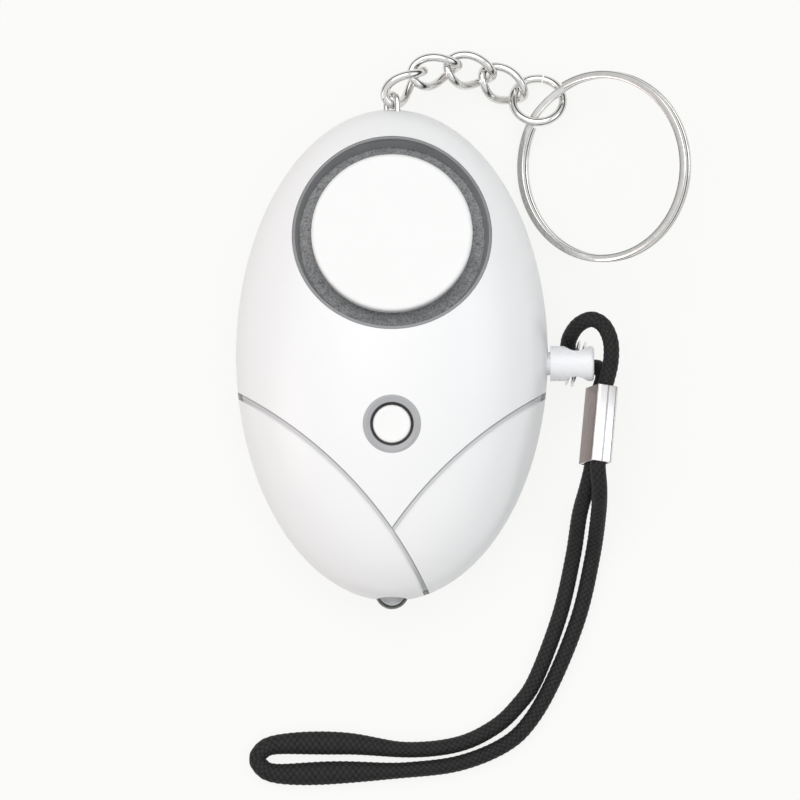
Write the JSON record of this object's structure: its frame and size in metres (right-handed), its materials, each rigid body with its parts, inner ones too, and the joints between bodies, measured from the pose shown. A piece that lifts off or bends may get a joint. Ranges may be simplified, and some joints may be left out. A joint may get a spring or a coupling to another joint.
{
  "type": "personal safety alarm",
  "caption": "Egg-shaped personal safety alarm with a round siren, light button, lamp, pull pin on a wrist cord, and a chain with a key ring.",
  "frame": {"origin": "centre of the flat rest face under the rear shell", "axes": "+X right, towards the pull pin; +Y towards the chain end; +Z out of the front, away from the rest face"},
  "size_m": [0.0583, 0.0941, 0.0198],
  "materials": {
    "white_shell": "smooth, softly glossy",
    "grey_trough": "matt, smooth wall and fine grained floor",
    "white_plastic": "smooth, softly glossy",
    "white_pin": "smooth, softly glossy",
    "black_plastic": "moulded",
    "clear_lamp": "clear, polished",
    "brass_sheet": "rolled sheet",
    "ceramic_disc": "matt with a silvered face",
    "board": "solder mask",
    "cell_can": "drawn can",
    "screw_steel": "machined",
    "nickel": "bright plated",
    "black_cord": "fine round braid"
  },
  "bodies": {
    "case": {"front_shell": "white_shell", "rear_shell": "white_shell", "siren_bezel": "grey_trough", "siren_cap": "white_shell", "piezo_plate": "brass_sheet", "piezo_ceramic": "ceramic_disc", "circuit_board": "board", "tact_switch": "black_plastic", "boost_coil": "black_plastic", "driver_chip": "black_plastic", "pin_switch": "black_plastic", "moving_contact": "brass_sheet", "fixed_contact": "brass_sheet", "cell_1": "cell_can", "cell_2": "cell_can", "cell_3": "cell_can", "contact_plus": "brass_sheet", "contact_minus": "brass_sheet", "led_lamp": "clear_lamp", "rear_screws": "screw_steel", "chain_bail": "nickel"},
    "button": {"light_button": "white_plastic"},
    "plunger": {"tact_plunger": "white_plastic"},
    "pin": {"pull_pin": "white_pin", "pin_ring": "nickel", "cord_ferrule": "nickel", "wrist_cord": "black_cord"},
    "link_1": {"chain_link_1": "nickel"},
    "link_2": {"chain_link_2": "nickel"},
    "link_3": {"chain_link_3": "nickel"},
    "link_4": {"chain_link_4": "nickel"},
    "jump": {"jump_ring": "nickel"},
    "ring": {"split_ring": "nickel"}
  },
  "joints": [
    {"name": "button_push", "type": "slide", "parent": "case", "child": "button", "axis": [0, 0, -1], "range_m": [0, 0.0005], "stiffness_N_per_m": 800, "springref_m": -0.0003},
    {"name": "plunger_push", "type": "slide", "parent": "case", "child": "plunger", "axis": [0, 0, -1], "range_m": [0, 0.0005]},
    {"name": "pin_pull", "type": "slide", "parent": "case", "child": "pin", "axis": [1, 0, 0], "range_m": [0, 0.014]},
    {"name": "bail_swing", "type": "hinge", "parent": "case", "child": "link_1", "pos_m": [0, 0.0335, 0.0076], "axis": [0.5878, 0, 0.809], "range_deg": [-1, 20]},
    {"name": "link_2_swing", "type": "hinge", "parent": "link_1", "child": "link_2", "pos_m": [0.00399, 0.03661, 0.00617], "axis": [0.3842, -0.0126, 0.9232], "range_deg": [-1, 20]},
    {"name": "link_3_swing", "type": "hinge", "parent": "link_2", "child": "link_3", "pos_m": [0.00855, 0.03719, 0.00491], "axis": [0.23, 0.2164, 0.9488], "range_deg": [-1, 20]},
    {"name": "link_4_swing", "type": "hinge", "parent": "link_3", "child": "link_4", "pos_m": [0.01289, 0.03587, 0.00311], "axis": [0.4148, 0.3713, 0.8307], "range_deg": [-1, 15]},
    {"name": "jump_swing", "type": "hinge", "parent": "link_4", "child": "jump", "pos_m": [0.01681, 0.03325, 0.00148], "axis": [0.537, 0.3718, 0.7572], "range_deg": [-1, 12]},
    {"name": "ring_spin", "type": "hinge", "parent": "jump", "child": "ring", "pos_m": [0.02717, 0.02422, 0.0071], "axis": [-0.4848, 0, 0.8746], "continuous": true}
  ],
  "couplings": [
    {"joint": "plunger_push", "follows": "button_push", "ratio": 1}
  ]
}
